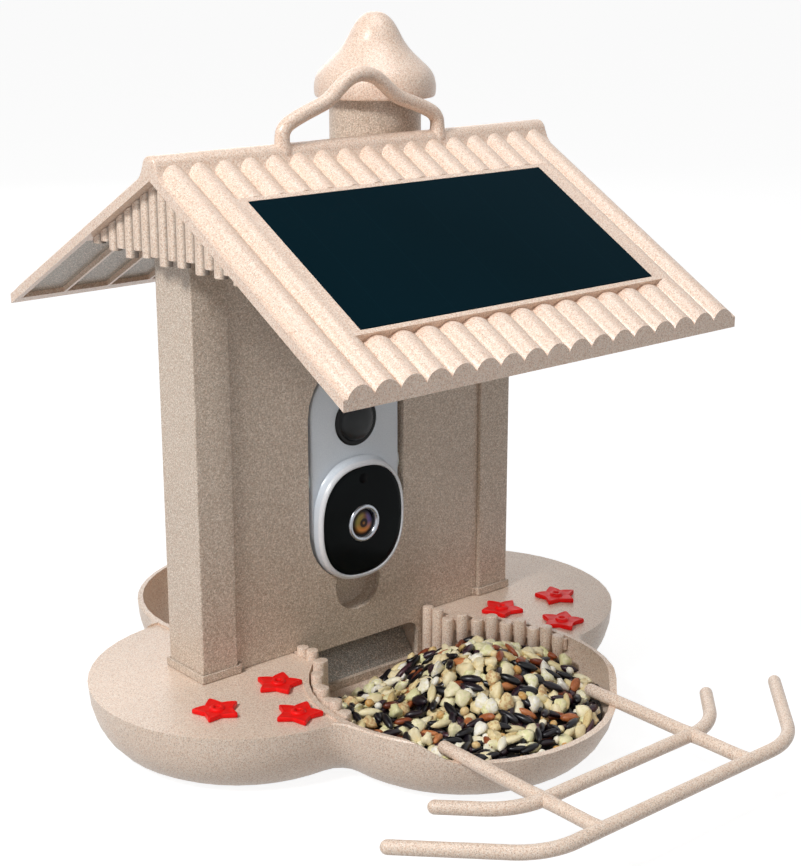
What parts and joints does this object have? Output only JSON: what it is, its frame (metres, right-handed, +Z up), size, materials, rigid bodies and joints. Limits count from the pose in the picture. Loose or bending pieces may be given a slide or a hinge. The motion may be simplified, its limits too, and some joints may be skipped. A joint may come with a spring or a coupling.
{
  "type": "smart bird feeder",
  "caption": "House-shaped bird feeder on a four-lobed base: ribbed roof with solar panel, front camera, seed hopper filled through a capped chimney, seed tray and pull-out perch.",
  "frame": {"origin": "centre of the four-lobed base's underside", "axes": "+Z up, +X along the roof ridge, -Y towards the camera's face, the seed tray and the perch"},
  "size_m": [0.324, 0.3944, 0.3672],
  "materials": {
    "plant_fibre": "moulded plant-fibre plastic with fine brown specks, satin",
    "flower_red": "moulded red plastic",
    "solar_black": "laminated solar cells under a clear glossy sheet",
    "shell_grey": "silver-grey painted ABS, satin gloss",
    "gloss_black": "polished black acrylic",
    "matte_black": "matt black moulded plastic",
    "bright_metal": "bright turned metal ring",
    "lens_glass": "coated lens glass",
    "soft_rubber": "translucent white silicone",
    "seal_rubber": "black silicone seal",
    "board_green": "green solder-masked circuit board",
    "cell_steel": "blue sleeved lithium cell",
    "screw_steel": "plain steel screw",
    "seed_mix": "loose mixed seed"
  },
  "bodies": {
    "house": {"base_shell": "plant_fibre", "reservoir_floor_left": "plant_fibre", "reservoir_floor_right": "plant_fibre", "floor_screw_left": "screw_steel", "floor_screw_right": "screw_steel", "flower_port_left_1": "flower_red", "flower_port_left_2": "flower_red", "flower_port_left_3": "flower_red", "flower_port_right_1": "flower_red", "flower_port_right_2": "flower_red", "flower_port_right_3": "flower_red", "picket_fence_left": "plant_fibre", "picket_fence_right": "plant_fibre", "seed_heap": "seed_mix", "front_panel": "plant_fibre", "column_left": "plant_fibre", "column_right": "plant_fibre", "plinth_left": "plant_fibre", "plinth_right": "plant_fibre", "hopper_back": "plant_fibre", "seed_ramp": "plant_fibre", "funnel_left": "plant_fibre", "funnel_right": "plant_fibre", "camera_cradle": "plant_fibre", "dock_connector": "matte_black", "solar_lead": "matte_black", "roof_front": "plant_fibre", "roof_back": "plant_fibre", "ridge_roll": "plant_fibre", "gable_left": "plant_fibre", "gable_right": "plant_fibre", "solar_panel": "solar_black", "junction_box": "matte_black", "hanger_handle": "plant_fibre", "chimney": "plant_fibre"},
    "chimney_lid": {"chimney_cap": "plant_fibre", "cap_seal": "seal_rubber"},
    "perch_frame": {"perch": "plant_fibre"},
    "camera_unit": {"camera_front_shell": "shell_grey", "camera_rear_shell": "shell_grey", "shell_seal": "seal_rubber", "camera_screw_1": "screw_steel", "camera_screw_2": "screw_steel", "camera_screw_3": "screw_steel", "camera_screw_4": "screw_steel", "camera_window": "gloss_black", "lens_ring": "bright_metal", "lens_barrel": "matte_black", "camera_lens": "lens_glass", "pir_dome": "gloss_black", "light_sensor": "lens_glass", "camera_board": "board_green", "battery_cell_left": "cell_steel", "battery_cell_right": "cell_steel", "camera_speaker": "matte_black", "usb_cover": "seal_rubber", "side_grip_left": "soft_rubber", "side_grip_right": "soft_rubber"},
    "camera_power_button": {"power_button": "matte_black"}
  },
  "joints": [
    {"name": "chimney_cap_lift", "type": "slide", "parent": "house", "child": "chimney_lid", "axis": [0, 0, 1], "range_m": [0, 0.06]},
    {"name": "perch_pull", "type": "slide", "parent": "house", "child": "perch_frame", "axis": [0, -1, 0], "range_m": [0, 0.025]},
    {"name": "camera_pull", "type": "slide", "parent": "house", "child": "camera_unit", "axis": [0, -1, 0], "range_m": [0, 0.045]},
    {"name": "power_button_press", "type": "slide", "parent": "camera_unit", "child": "camera_power_button", "axis": [0, -1, 0], "range_m": [0, 0.001], "stiffness_N_per_m": 400, "springref_m": -0.001}
  ]
}
